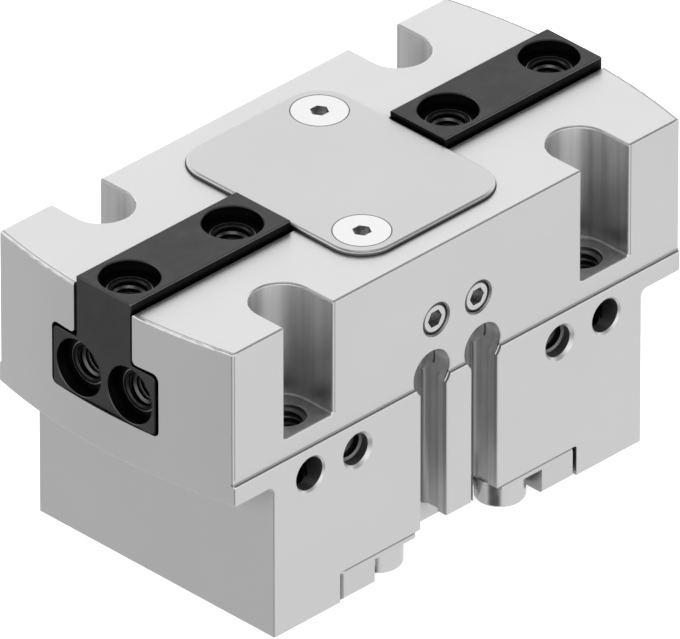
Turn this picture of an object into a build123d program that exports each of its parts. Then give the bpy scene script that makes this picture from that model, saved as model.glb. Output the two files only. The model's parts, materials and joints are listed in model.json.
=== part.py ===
from build123d import *
from math import sqrt
import os

os.makedirs("parts", exist_ok=True)

# A pneumatic parallel gripper with its jaws closed. X is the jaws' direction of travel, Y runs
# across the body with the air ports on the -Y face, and Z = 0 is the underside of the two feet.

# Strokes and running clearances
piston_stroke = 10.0
jaw_stroke = 7.5
slide_clearance = 0.1
piston_clearance = 0.05
rod_clearance = 0.03
thread_clearance = 0.05
end_gap = 0.2
hook_gap = 0.3

# Piston, piston rod and what they carry
cylinder_bore = 30.0
piston_height = 7.0
rod_diameter = 10.0
rod_seat_depth = 1.0
groove_depth = 2.2
seal_groove_width = 2.2
magnet_groove_width = 2.2
groove_inset = 0.9
ring_side_gap = 0.1
piston_screw_thread = 5.0
piston_screw_head = 8.5
piston_screw_head_height = 5.0
piston_screw_hex = 4.0
piston_screw_recess = 0.4
piston_screw_bore = 5.3
piston_screw_tip_gap = 1.0
seal_play = 0.02
magnet_inset = 0.3
thread_tip_chamfer = 0.3

# End cap below the cylinder, held by four socket screws
channel_height = 5.08
cap_floor_gap = 0.1
cap_side_gap = 0.45
cap_front_inset = 0.05
spigot_height = 2.52
spigot_groove_depth = 1.4
spigot_groove_width = 1.5
o_ring_section = 1.3
cap_strip_thickness = 0.95
cap_pocket_inner_gap = 0.15
cap_pocket_outer_gap = 0.71
cap_pocket_back_gap = 0.55
cap_notch_width = 17.66
cap_notch_depth = 6.95
cap_notch_round = 2.5
cap_edge_round = 0.2
cap_edge_break = 0.3
cap_screw_pitch_x = 25.0
cap_screw_inset = 4.1
cap_screw_thread = 4.0
cap_screw_bore = 4.3
cap_screw_head = 7.6
cap_screw_head_height = 4.0
cap_screw_head_round = 0.4
cap_screw_hex = 3.0
cap_screw_reach = 8.0

# Rod seal and its retaining ring in the cylinder roof
roof_thickness = 5.1
rod_seal_width = 6.0
rod_seal_height = 2.5
retainer_thickness = 0.8
retainer_play = 0.4

# Jaws, and the T guide that follows them
chamber_depth = 2.25
jaw_flange_width = 20.6
jaw_flange_height = 9.85
jaw_flange_lower_round = 1.0
jaw_flange_upper_round = 0.8
jaw_neck_width = 11.1
jaw_neck_root_round = 0.35
jaw_proud = 1.5
jaw_end_inset = 0.26
jaw_cover_gap = 0.33
guide_lip = 8.6
guide_neck_gap = 0.35
guide_relief = 0.4
guide_relief_length = 2.5
guide_root_round = 0.8
guide_mouth_chamfer = 0.2
jaw_edge_round = 0.2

# Fixing holes in the jaws, each with a seat for a centring sleeve
sleeve_seat = 9.0
sleeve_seat_rim = 9.3
sleeve_seat_depth = 2.1
jaw_thread = 5.0
jaw_thread_rim = 5.5
jaw_top_hole_inset = 5.26
jaw_top_hole_pitch = 20.6
jaw_top_hole_depth = 10.1
jaw_end_hole_pitch = 10.34
jaw_end_hole_rise = 4.69
jaw_end_hole_depth = 12.0

# Wedge hook that drives both jaws
hook_top_half = 9.5
hook_width = 15.0
tongue_neck_width = 3.8
tongue_neck_length = 2.4
tongue_head_width = 7.2
tongue_head_length = 3.0

# Housing: a wide head over a narrower trunk that stands on two feet
mount_pitch_x = 60.0
mount_inset = 5.0
foot_edge = 7.3
foot_width = 13.25
trunk_width = 48.0
seam_step = 0.4
lip_reach = 10.63
head_end_radius = 103.0
seam_drop = 3.55
lip_thickness = 3.32
lip_root_round = 1.1
lip_edge_round = 0.4
edge_round = 0.33
corner_round = 0.3
channel_round = 0.5

# Wells and holes for the screws that hold the gripper
well_width = 9.7
well_depth = 18.8
well_inset = 5.7
well_floor_round = 0.4
mount_thread = 6.0
mount_thread_rim = 6.2
mount_thread_depth = 10.0
mount_bore = 5.1
mount_foot_rim = 5.7
cross_bore = 5.3
cross_bore_rim = 5.9
cross_bore_drop = 4.4

# Air ports, plugged passages and sensor slots in the front face
port_pitch = 41.0
port_drop = 4.65
port_thread = 5.0
port_rim = 5.95
port_depth = 8.0
plug_pitch = 8.5
plug_rise = 6.4
plug_thread = 5.0
plug_rim = 5.5
plug_hole_depth = 8.0
plug_passage = 2.0
plug_length = 5.0
plug_recess = 0.3
plug_hex = 2.5
plug_hex_depth = 2.3
sensor_pitch = 10.3
sensor_mouth = 5.2
sensor_lip = 1.8
sensor_width = 6.35
sensor_depth = 5.2
sensor_back_round = 1.6
sensor_edge_break = 0.1
sensor_run_out = 7.25
sensor_run_out_rise = 1.45

# Top cover and its two countersunk screws
cover_length = 30.6
cover_width = 39.0
cover_thickness = 3.0
cover_proud = 0.7
cover_corner_round = 5.8
cover_edge_round = 0.5
cover_gap = 0.1
pocket_margin = 0.4
pocket_round = 1.5
chamber_round = 2.5
cover_screw_end_inset = 5.93
cover_screw_side_inset = 5.83
cover_screw_thread = 4.0
cover_screw_bore = 4.4
cover_screw_head = 8.4
cover_screw_sink_gap = 0.07
cover_screw_hex = 2.5
cover_screw_hex_depth = 1.6
cover_screw_length = 10.0
tap_run_out = 1.5

# Tolerance for picking edges by their place
margin = 0.01

# Heights that follow from the stack of pieces, bottom to top
cap_strip_underside = channel_height - cap_strip_thickness
piston_bottom = channel_height + spigot_height + end_gap
piston_top = piston_bottom + piston_height
cylinder_top = piston_top + piston_stroke + end_gap
chamber_floor = cylinder_top + roof_thickness
guide_floor = chamber_floor + chamber_depth
jaw_bottom = guide_floor + slide_clearance
jaw_shoulder = jaw_bottom + jaw_flange_height
guide_ceiling = jaw_shoulder + slide_clearance
housing_top = guide_ceiling + guide_lip
jaw_top = housing_top + jaw_proud
cover_top = housing_top + cover_proud
cover_seat = cover_top - cover_thickness
jaw_inner_top = cover_seat - end_gap
hook_bottom = chamber_floor + hook_gap
hook_top = cover_seat - hook_gap - piston_stroke
rod_top = hook_bottom + rod_seat_depth

# Heights of the outer features, from the jaw guide that they surround
seam_height = guide_floor - seam_drop
seam_centre = seam_height + seam_step
lip_underside = seam_height - lip_thickness
well_floor = housing_top - well_depth
cross_bore_height = seam_height - cross_bore_drop
port_height = seam_height - port_drop
run_out_height = seam_height + sensor_run_out_rise
plug_height = jaw_bottom + plug_rise
jaw_end_hole_height = jaw_bottom + jaw_end_hole_rise

# Lengths and widths that follow
trunk_length = mount_pitch_x + 2 * foot_edge
channel_width = trunk_length - 2 * foot_width
head_length = trunk_length + 2 * lip_reach
head_width = trunk_width - 2 * seam_step
mount_pitch_y = trunk_width - 2 * mount_inset
cap_width = trunk_width - 2 * cap_front_inset
cap_screw_pitch_y = trunk_width - 2 * cap_screw_inset
cap_pocket_inner = (cap_screw_pitch_x - cap_screw_head) / 2 - cap_pocket_inner_gap
cap_pocket_outer = (cap_screw_pitch_x + cap_screw_head) / 2 + cap_pocket_outer_gap
cap_pocket_depth = cap_screw_inset - cap_front_inset + cap_screw_head / 2 + cap_pocket_back_gap
cover_screw_x = cover_length / 2 - cover_screw_end_inset
cover_screw_y = cover_width / 2 - cover_screw_side_inset
jaw_end = head_length / 2 - jaw_end_inset
jaw_step = cover_length / 2 + jaw_cover_gap
wedge_slope = jaw_stroke / piston_stroke
tongue_length = tongue_neck_length + tongue_head_length
guide_width = jaw_flange_width + 2 * slide_clearance
guide_neck_width = jaw_neck_width + 2 * guide_neck_gap
sensor_back = sensor_depth - trunk_width / 2

# Radii and grooves of the round pieces
piston_radius = cylinder_bore / 2 - piston_clearance
spigot_radius = cylinder_bore / 2 - piston_clearance
seal_seat_radius = rod_diameter / 2 + rod_seal_width / 2
seal_groove_bottom = piston_bottom + groove_inset
magnet_groove_bottom = piston_top - groove_inset - magnet_groove_width
o_ring_bottom = channel_height + (spigot_height - spigot_groove_width) / 2
o_ring_radius = spigot_radius - spigot_groove_depth + thread_clearance + o_ring_section / 2


def flank(height):
    """X of the hook's right-hand flank at a height, with the jaws closed."""
    return hook_top_half + (hook_top - height) * wedge_slope


# Spaces that the wedge hook needs at the bottom and at the top of its stroke
pocket_length = 2 * (flank(guide_ceiling - piston_stroke) + pocket_margin)
pocket_width = hook_width + 2 * pocket_round
chamber_length = 2 * (flank(hook_bottom) + tongue_length + pocket_margin)
chamber_width = hook_width + 2 * hook_gap

front = Plane(origin=(0, -trunk_width / 2, 0), x_dir=(1, 0, 0), z_dir=(0, -1, 0))
back = Plane(origin=(0, trunk_width / 2, 0), x_dir=(1, 0, 0), z_dir=(0, 1, 0))
head_front = Plane(origin=(0, -head_width / 2, 0), x_dir=(1, 0, 0), z_dir=(0, -1, 0))
underside = Plane(origin=(0, 0, 0), x_dir=(1, 0, 0), z_dir=(0, 0, -1))
jaw_top_face = Plane.XY.offset(jaw_top)
jaw_end_face = Plane(origin=(jaw_end, 0, 0), x_dir=(0, 1, 0), z_dir=(1, 0, 0))

cap_screw_spots = [
    (x * cap_screw_pitch_x / 2, y * cap_screw_pitch_y / 2) for x in (-1, 1) for y in (-1, 1)
]
cover_screw_spots = [(side * cover_screw_x, side * cover_screw_y) for side in (-1, 1)]
jaw_top_spots = [
    (jaw_end - jaw_top_hole_inset - jaw_top_hole_pitch, 0),
    (jaw_end - jaw_top_hole_inset, 0),
]
jaw_end_spots = [(side * jaw_end_hole_pitch / 2, jaw_end_hole_height) for side in (-1, 1)]
jaw_hole_rows = [
    (jaw_top_face, jaw_top_spots, jaw_top_hole_depth),
    (jaw_end_face, jaw_end_spots, jaw_end_hole_depth),
]


def head_plan(width):
    """Plan of the head: two straight sides of the given distance and two bowed ends."""
    apex = head_length / 2
    corner = apex - head_end_radius + sqrt(head_end_radius**2 - (width / 2) ** 2)
    with BuildSketch() as plan:
        with BuildLine():
            Line((-corner, -width / 2), (corner, -width / 2))
            ThreePointArc((corner, -width / 2), (apex, 0), (corner, width / 2))
            Line((corner, width / 2), (-corner, width / 2))
            ThreePointArc((-corner, width / 2), (-apex, 0), (-corner, -width / 2))
        make_face()
    return plan.sketch


def flank_band(near, far, bottom, top):
    """Band in the XZ plane between two lines parallel to the hook's flank."""
    with BuildSketch(Plane.XZ) as band:
        with BuildLine():
            Polyline(
                (flank(bottom) + near, bottom),
                (flank(bottom) + far, bottom),
                (flank(top) + far, top),
                (flank(top) + near, top),
                close=True,
            )
        make_face()
    return band.sketch


def tee(neck_width, flange_width, bottom, shoulder, top, lower_round, upper_round, root_round):
    """Upright T in the YZ plane: a wide flange below, and a narrower neck up to the top."""
    with BuildSketch(Plane.YZ) as section:
        with BuildLine():
            Polyline(
                (-flange_width / 2, bottom),
                (flange_width / 2, bottom),
                (flange_width / 2, shoulder),
                (neck_width / 2, shoulder),
                (neck_width / 2, top),
                (-neck_width / 2, top),
                (-neck_width / 2, shoulder),
                (-flange_width / 2, shoulder),
                close=True,
            )
        make_face()
        levels = section.vertices().group_by(Axis.Y)
        fillet(levels[0], lower_round)
        shoulders = section.vertices().filter_by_position(Axis.Y, shoulder - margin, shoulder + margin)
        fillet(shoulders.sort_by(Axis.X)[1:3], root_round)
        shoulders = section.vertices().filter_by_position(Axis.Y, shoulder - margin, shoulder + margin)
        fillet([shoulders.sort_by(Axis.X)[0], shoulders.sort_by(Axis.X)[-1]], upper_round)
    return section.sketch


jaw_section = tee(
    jaw_neck_width,
    jaw_flange_width,
    jaw_bottom,
    jaw_shoulder,
    jaw_top,
    jaw_flange_lower_round,
    jaw_flange_upper_round,
    jaw_neck_root_round,
)
guide_section = tee(
    guide_neck_width,
    guide_width,
    guide_floor,
    guide_ceiling,
    jaw_top,
    jaw_flange_lower_round,
    jaw_flange_upper_round,
    guide_root_round,
)
relief_section = tee(
    guide_neck_width,
    guide_width + 2 * guide_relief,
    guide_floor,
    guide_ceiling + guide_relief,
    jaw_top,
    jaw_flange_lower_round,
    jaw_flange_upper_round + guide_relief,
    guide_root_round,
)


def ring(inner, outer, bottom, height):
    """Flat-sided ring about the Z axis."""
    with BuildPart() as body:
        with BuildSketch(Plane.XY.offset(bottom)):
            Circle(outer)
            Circle(inner, mode=Mode.SUBTRACT)
        extrude(amount=height)
    return body.part


def hexagon(across_flats):
    """Hexagon of a socket in the sketch at hand."""
    RegularPolygon(across_flats / 2, 6, major_radius=False)


def socket_screw(seat, head, head_height, head_round, thread, reach, socket):
    """Socket head screw: its head stands on the seat plane, and its thread reaches below."""
    with BuildPart() as screw:
        with BuildSketch(seat):
            Circle(head / 2)
        extrude(amount=head_height)
        fillet(screw.faces().sort_by(Axis(seat.origin, seat.z_dir))[-1].edges(), head_round)
        with BuildSketch(seat):
            Circle(thread / 2 - thread_clearance)
        extrude(amount=-reach)
        chamfer(screw.faces().sort_by(Axis(seat.origin, seat.z_dir))[0].edges(), thread_tip_chamfer)
        with BuildSketch(seat.offset(head_height)):
            hexagon(socket)
        extrude(amount=-head_height / 2, mode=Mode.SUBTRACT)
    return screw.part


def countersunk_screw(x, y):
    """Countersunk screw of the cover, flush with the cover's top."""
    axis = Axis((x, y, cover_top), (0, 0, 1))
    shank = cover_screw_thread / 2 - thread_clearance
    head = cover_screw_head / 2
    with BuildPart() as screw:
        with BuildSketch(Plane(origin=(x, y, cover_top), x_dir=(1, 0, 0), z_dir=(0, -1, 0))):
            with BuildLine():
                Polyline(
                    (0, 0),
                    (head, 0),
                    (shank, shank - head),
                    (shank, -cover_screw_length),
                    (0, -cover_screw_length),
                    close=True,
                )
            make_face()
        revolve(axis=axis)
        with BuildSketch(Plane(origin=(x, y, cover_top))):
            hexagon(cover_screw_hex)
        extrude(amount=-cover_screw_hex_depth, mode=Mode.SUBTRACT)
    return screw.part


def plug_screw(x):
    """Headless screw that closes a passage in the front face."""
    face = head_front.offset(-plug_recess)
    with BuildPart() as plug:
        with BuildSketch(face):
            with Locations((x, plug_height)):
                Circle(plug_thread / 2 - thread_clearance)
        extrude(amount=-plug_length)
        chamfer(plug.faces().filter_by(Axis.Y).edges(), thread_tip_chamfer)
        with BuildSketch(face):
            with Locations((x, plug_height)):
                hexagon(plug_hex)
        extrude(amount=-plug_hex_depth, mode=Mode.SUBTRACT)
    return plug.part


def save(part, name):
    """Label a finished piece and write it."""
    part.label = name
    export_step(part, f"parts/{name}.step")


# Housing
with BuildPart() as housing:
    with BuildSketch():
        Rectangle(trunk_length, trunk_width)
    extrude(amount=lip_underside)
    with BuildSketch(Plane.XY.offset(lip_underside)):
        add(head_plan(trunk_width))
    extrude(amount=lip_thickness + seam_step)
    with BuildSketch(Plane.YZ):
        with Locations((-trunk_width / 2, seam_centre), (trunk_width / 2, seam_centre)):
            Circle(seam_step)
    extrude(amount=head_length, both=True, mode=Mode.SUBTRACT)
    with BuildSketch(Plane.XY.offset(seam_height)):
        add(head_plan(head_width))
    extrude(amount=housing_top - seam_height)

    # rounds under the end lips and on the trunk's corners
    roots = housing.edges().filter_by(Axis.Y)
    fillet(roots.filter_by_position(Axis.Z, lip_underside - margin, lip_underside + margin), lip_root_round)
    lips = housing.edges().filter_by(GeomType.CIRCLE)
    fillet(lips.filter_by_position(Axis.Z, lip_underside - margin, lip_underside + margin), lip_edge_round)
    corners = housing.edges().filter_by(Axis.Z).filter_by_position(Axis.Z, 0, seam_height)
    fillet(corners, corner_round)

    # wells for the fixing screws, open to the sides and the top
    with BuildPart(mode=Mode.SUBTRACT) as wells:
        with BuildSketch(Plane.XY.offset(well_floor)):
            with GridLocations(mount_pitch_x, 2 * (trunk_width - well_inset), 2, 2):
                SlotCenterToCenter(trunk_width, well_width, rotation=90)
        extrude(amount=well_depth)
        fillet(wells.faces().filter_by(Axis.Z).group_by(Axis.Z)[0].edges(), well_floor_round)
    top_rim = housing.faces().sort_by(Axis.Z)[-1].edges()
    uprights = housing.edges().filter_by(Axis.Z)
    mouths = uprights.filter_by(lambda edge: abs(edge.center().Y) > (head_width - margin) / 2)
    fillet(top_rim + mouths.filter_by_position(Axis.Z, seam_height, housing_top), edge_round)

    # channel between the feet, closed by the end cap
    with BuildSketch(Plane.XZ) as channel:
        Rectangle(channel_width, 2 * channel_height)
        fillet(channel.vertices().group_by(Axis.Y)[-1], channel_round)
    extrude(amount=trunk_width, both=True, mode=Mode.SUBTRACT)

    # T guide for the jaws, through from end to end and wider at both ends
    extrude(guide_section, amount=head_length, both=True, mode=Mode.SUBTRACT)
    with BuildPart(mode=Mode.SUBTRACT):
        extrude(relief_section, amount=head_length, both=True)
        Box(head_length - 2 * guide_relief_length, trunk_width, 2 * jaw_top, mode=Mode.SUBTRACT)
    with BuildSketch(Plane.YZ.offset(-head_length / 2)):
        with BuildLine():
            Polyline(
                (-guide_neck_width / 2, housing_top - guide_mouth_chamfer),
                (guide_neck_width / 2, housing_top - guide_mouth_chamfer),
                (guide_neck_width / 2 + 2 * guide_mouth_chamfer, housing_top + guide_mouth_chamfer),
                (-guide_neck_width / 2 - 2 * guide_mouth_chamfer, housing_top + guide_mouth_chamfer),
                close=True,
            )
        make_face()
    extrude(amount=head_length, mode=Mode.SUBTRACT)

    # seat of the cover, and the space below it where the wedge hook rises
    with BuildSketch(Plane.XY.offset(cover_seat)):
        RectangleRounded(cover_length, cover_width, cover_corner_round)
        offset(amount=cover_gap)
    extrude(amount=cover_thickness, mode=Mode.SUBTRACT)
    with BuildSketch(Plane.XY.offset(cover_seat)):
        RectangleRounded(pocket_length, pocket_width, pocket_round)
    extrude(amount=jaw_shoulder - cover_seat, mode=Mode.SUBTRACT)
    with BuildSketch(Plane.XY.offset(chamber_floor)):
        RectangleRounded(chamber_length, chamber_width, chamber_round)
    extrude(amount=chamber_depth + slide_clearance, mode=Mode.SUBTRACT)

    # cylinder, seat of the rod seal and rod bore
    with BuildSketch():
        Circle(cylinder_bore / 2)
    extrude(amount=cylinder_top, mode=Mode.SUBTRACT)
    with BuildSketch(Plane.XY.offset(cylinder_top)):
        Circle(seal_seat_radius)
    extrude(amount=retainer_thickness + rod_seal_height, mode=Mode.SUBTRACT)
    with BuildSketch(Plane.XY.offset(cylinder_top)):
        Circle(rod_diameter / 2 + rod_clearance)
    extrude(amount=roof_thickness, mode=Mode.SUBTRACT)

    # fixing holes: threaded from the wells, plain down to the feet
    with Locations(Plane.XY.offset(well_floor)):
        with GridLocations(mount_pitch_x, mount_pitch_y, 2, 2):
            CounterSinkHole(mount_thread / 2, mount_thread_rim / 2, mount_thread_depth, 90)
            Hole(mount_bore / 2, well_floor)
    with Locations(underside):
        with GridLocations(mount_pitch_x, mount_pitch_y, 2, 2):
            CounterSinkHole(mount_bore / 2, mount_foot_rim / 2, mount_thread_depth, 90)

    # cross bores through the trunk
    for face in (front, back):
        with Locations(face):
            with Locations((-mount_pitch_x / 2, cross_bore_height), (mount_pitch_x / 2, cross_bore_height)):
                CounterSinkHole(cross_bore / 2, cross_bore_rim / 2, trunk_width, 90)

    # air ports and plugged passages
    with Locations(front):
        with Locations((-port_pitch / 2, port_height), (port_pitch / 2, port_height)):
            CounterSinkHole(port_thread / 2, port_rim / 2, port_depth, 90)
    with Locations(head_front):
        with Locations((-plug_pitch / 2, plug_height), (plug_pitch / 2, plug_height)):
            CounterSinkHole(plug_thread / 2, plug_rim / 2, plug_hole_depth, 90)
            Hole(plug_passage / 2, (head_width - guide_neck_width) / 2)

    # sensor slots with a narrow mouth, a round back and a round run-out at the top
    with BuildSketch() as slots:
        with Locations((-sensor_pitch / 2, sensor_back), (sensor_pitch / 2, sensor_back)):
            Rectangle(sensor_width, sensor_depth - sensor_lip, align=(Align.CENTER, Align.MAX))
        fillet(slots.vertices().group_by(Axis.Y)[-1], sensor_back_round)
        with Locations((-sensor_pitch / 2, sensor_back), (sensor_pitch / 2, sensor_back)):
            Rectangle(sensor_mouth, 2 * sensor_depth, align=(Align.CENTER, Align.MAX))
        with Locations((-sensor_pitch / 2, -trunk_width / 2), (sensor_pitch / 2, -trunk_width / 2)):
            with GridLocations(sensor_mouth, sensor_mouth, 2, 1):
                Rectangle(sqrt(2) * sensor_edge_break, sqrt(2) * sensor_edge_break, rotation=45)
    extrude(amount=run_out_height, mode=Mode.SUBTRACT)
    with Locations(head_front):
        with Locations((-sensor_pitch / 2, run_out_height), (sensor_pitch / 2, run_out_height)):
            rim = sensor_run_out / 2 + sensor_edge_break
            CounterSinkHole(sensor_run_out / 2, rim, sensor_depth - seam_step, 90)

    # tapped holes for the cap's and the cover's screws
    with Locations(underside.offset(-channel_height)):
        with GridLocations(cap_screw_pitch_x, cap_screw_pitch_y, 2, 2):
            Hole(cap_screw_thread / 2, cap_screw_reach + tap_run_out)
    with Locations(Plane.XY.offset(cover_seat)):
        with Locations(*cover_screw_spots):
            Hole(cover_screw_thread / 2, cover_screw_length - cover_thickness + tap_run_out)

save(housing.part, "housing")

# End cap
with BuildPart() as end_cap:
    with BuildSketch(Plane.XY.offset(cap_floor_gap)):
        Rectangle(channel_width - 2 * cap_side_gap, cap_width)
    extrude(amount=channel_height - cap_floor_gap)
    fillet(end_cap.faces().sort_by(Axis.Z)[-1].edges().filter_by(Axis.Y), channel_round + cap_edge_round)
    chamfer(end_cap.faces().filter_by(Axis.Y).edges(), cap_edge_break)
    with BuildSketch(Plane.XY.offset(cap_floor_gap)):
        with Locations((0, -cap_width / 2), (0, cap_width / 2)):
            RectangleRounded(cap_notch_width, 2 * cap_notch_depth, cap_notch_round)
    extrude(amount=channel_height, mode=Mode.SUBTRACT)
    with BuildSketch(Plane.XY.offset(cap_floor_gap)):
        with GridLocations(cap_pocket_inner + cap_pocket_outer, cap_width, 2, 2):
            Rectangle(cap_pocket_outer - cap_pocket_inner, 2 * cap_pocket_depth)
    extrude(amount=cap_strip_underside - cap_floor_gap, mode=Mode.SUBTRACT)
    with Locations(Plane.XY.offset(channel_height)):
        with GridLocations(cap_screw_pitch_x, cap_screw_pitch_y, 2, 2):
            Hole(cap_screw_bore / 2, cap_strip_thickness)
    with BuildSketch(Plane.XY.offset(channel_height)):
        Circle(spigot_radius)
    extrude(amount=spigot_height)
    with BuildSketch(Plane.XY.offset(o_ring_bottom)):
        Circle(cylinder_bore / 2)
        Circle(spigot_radius - spigot_groove_depth, mode=Mode.SUBTRACT)
    extrude(amount=spigot_groove_width, mode=Mode.SUBTRACT)
save(end_cap.part, "end_cap")

with BuildPart() as end_cap_seal:
    with BuildSketch(Plane.XZ):
        with Locations((o_ring_radius, o_ring_bottom + spigot_groove_width / 2)):
            Circle(o_ring_section / 2)
    revolve(axis=Axis.Z)
save(end_cap_seal.part, "end_cap_seal")

for number, (x, y) in enumerate(cap_screw_spots, start=1):
    seat = Plane(origin=(x, y, cap_strip_underside), z_dir=(0, 0, -1))
    reach = cap_strip_thickness + cap_screw_reach
    cap_screw = socket_screw(
        seat,
        cap_screw_head,
        cap_screw_head_height,
        cap_screw_head_round,
        cap_screw_thread,
        reach,
        cap_screw_hex,
    )
    save(cap_screw, f"cap_screw_{number}")

# Piston with its rod
piston_grooves = [
    (seal_groove_bottom, seal_groove_width),
    (magnet_groove_bottom, magnet_groove_width),
]
with BuildPart() as piston:
    with BuildSketch(Plane.XY.offset(piston_bottom)):
        Circle(piston_radius)
    extrude(amount=piston_height)
    for groove_bottom, groove_width in piston_grooves:
        with BuildSketch(Plane.XY.offset(groove_bottom)):
            Circle(cylinder_bore / 2)
            Circle(piston_radius - groove_depth, mode=Mode.SUBTRACT)
        extrude(amount=groove_width, mode=Mode.SUBTRACT)
    with BuildSketch(Plane.XY.offset(piston_top)):
        Circle(rod_diameter / 2)
    extrude(amount=rod_top - piston_top)
    with Locations(Plane.XY.offset(rod_top)):
        Hole(piston_screw_bore / 2, rod_top - piston_bottom)
    with BuildSketch(Plane.XY.offset(piston_bottom)):
        Circle(piston_screw_bore / 2 + piston_screw_head / 2 - piston_screw_thread / 2)
    extrude(amount=piston_screw_recess + piston_screw_head_height, mode=Mode.SUBTRACT)
save(piston.part, "piston")

piston_seal = ring(
    piston_radius - groove_depth + thread_clearance,
    cylinder_bore / 2 - seal_play,
    seal_groove_bottom + ring_side_gap,
    seal_groove_width - 2 * ring_side_gap,
)
save(piston_seal, "piston_seal")

piston_magnet = ring(
    piston_radius - groove_depth + thread_clearance,
    piston_radius - magnet_inset,
    magnet_groove_bottom + ring_side_gap,
    magnet_groove_width - 2 * ring_side_gap,
)
save(piston_magnet, "piston_magnet")

piston_screw_seat = Plane(
    origin=(0, 0, piston_bottom + piston_screw_recess + piston_screw_head_height), z_dir=(0, 0, -1)
)
piston_screw = socket_screw(
    piston_screw_seat,
    piston_screw_head,
    piston_screw_head_height,
    cap_screw_head_round,
    piston_screw_thread,
    hook_top - piston_screw_tip_gap - piston_screw_seat.origin.Z,
    piston_screw_hex,
)
save(piston_screw, "piston_screw")

# Rod seal and its retaining ring
seal_retainer = ring(
    rod_diameter / 2 + retainer_play, seal_seat_radius - rod_clearance, cylinder_top, retainer_thickness
)
save(seal_retainer, "seal_retainer")

rod_seal = ring(
    rod_diameter / 2 + rod_clearance,
    seal_seat_radius - rod_clearance,
    cylinder_top + retainer_thickness,
    rod_seal_height,
)
save(rod_seal, "rod_seal")

# Wedge hook with a slanting T tongue on each flank
with BuildPart() as wedge_hook:
    with BuildSketch(Plane.XZ):
        with BuildLine():
            Polyline(
                (-flank(hook_bottom), hook_bottom),
                (flank(hook_bottom), hook_bottom),
                (flank(hook_top), hook_top),
                (-flank(hook_top), hook_top),
                close=True,
            )
        make_face()
    extrude(amount=hook_width / 2, both=True)
    neck = flank_band(-slide_clearance, tongue_length, hook_bottom, hook_top)
    extrude(neck, amount=tongue_neck_width / 2, both=True)
    head = flank_band(tongue_neck_length, tongue_length, hook_bottom, hook_top)
    extrude(head, amount=tongue_head_width / 2, both=True)
    mirror(about=Plane.YZ)
    with BuildSketch(Plane.XY.offset(hook_bottom)):
        Circle(rod_diameter / 2 + rod_clearance)
    extrude(amount=rod_seat_depth, mode=Mode.SUBTRACT)
    with BuildSketch(Plane.XY.offset(hook_bottom)):
        Circle(piston_screw_thread / 2)
    extrude(amount=hook_top - hook_bottom, mode=Mode.SUBTRACT)
save(wedge_hook.part, "wedge_hook")

# Jaws
with BuildPart() as jaw_right:
    extrude(jaw_section, amount=jaw_end)
    end_rim = jaw_right.faces().sort_by(Axis.X)[-1].edges()
    top_edges = jaw_right.faces().sort_by(Axis.Z)[-1].edges().filter_by(Axis.X)
    fillet(end_rim + top_edges, jaw_edge_round)

    # slanting inner end, low neck below the cover and T groove for the hook's tongue
    inner_end = flank_band(-jaw_end, slide_clearance, jaw_bottom, jaw_top)
    extrude(inner_end, amount=jaw_flange_width, both=True, mode=Mode.SUBTRACT)
    with BuildSketch(Plane.XZ):
        with Locations((jaw_step, jaw_inner_top)):
            Rectangle(jaw_end, jaw_top, align=(Align.MAX, Align.MIN))
    extrude(amount=jaw_flange_width, both=True, mode=Mode.SUBTRACT)
    groove_end = tongue_length + slide_clearance
    neck = flank_band(0, groove_end, jaw_bottom, jaw_inner_top)
    extrude(neck, amount=tongue_neck_width / 2 + slide_clearance, both=True, mode=Mode.SUBTRACT)
    head = flank_band(tongue_neck_length - slide_clearance, groove_end, jaw_bottom, jaw_inner_top)
    extrude(head, amount=tongue_head_width / 2 + slide_clearance, both=True, mode=Mode.SUBTRACT)

    # threaded holes below sleeve seats, in the top and in the outer end
    for face, spots, depth in jaw_hole_rows:
        with Locations(face):
            with Locations(*spots):
                CounterSinkHole(sleeve_seat / 2, sleeve_seat_rim / 2, sleeve_seat_depth, 90)
        with Locations(face.offset(-sleeve_seat_depth)):
            with Locations(*spots):
                CounterSinkHole(jaw_thread / 2, jaw_thread_rim / 2, depth - sleeve_seat_depth, 90)
save(jaw_right.part, "jaw_right")

with BuildPart() as jaw_left:
    mirror(jaw_right.part, about=Plane.YZ)
save(jaw_left.part, "jaw_left")

# Top cover
with BuildPart() as top_cover:
    with BuildSketch(Plane.XY.offset(cover_seat)):
        RectangleRounded(cover_length, cover_width, cover_corner_round)
    extrude(amount=cover_thickness)
    fillet(top_cover.faces().sort_by(Axis.Z)[-1].edges(), cover_edge_round)
    with Locations(Plane.XY.offset(cover_top)):
        with Locations(*cover_screw_spots):
            sink_radius = cover_screw_head / 2 + cover_screw_sink_gap
            CounterSinkHole(cover_screw_bore / 2, sink_radius, cover_thickness, 90)
save(top_cover.part, "top_cover")

for number, (x, y) in enumerate(cover_screw_spots, start=1):
    save(countersunk_screw(x, y), f"cover_screw_{number}")

# Plug screws
for number, x in enumerate((-plug_pitch / 2, plug_pitch / 2), start=1):
    save(plug_screw(x), f"plug_screw_{number}")
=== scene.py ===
"""Looks of a pneumatic parallel gripper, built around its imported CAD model."""

import json
import math

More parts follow.
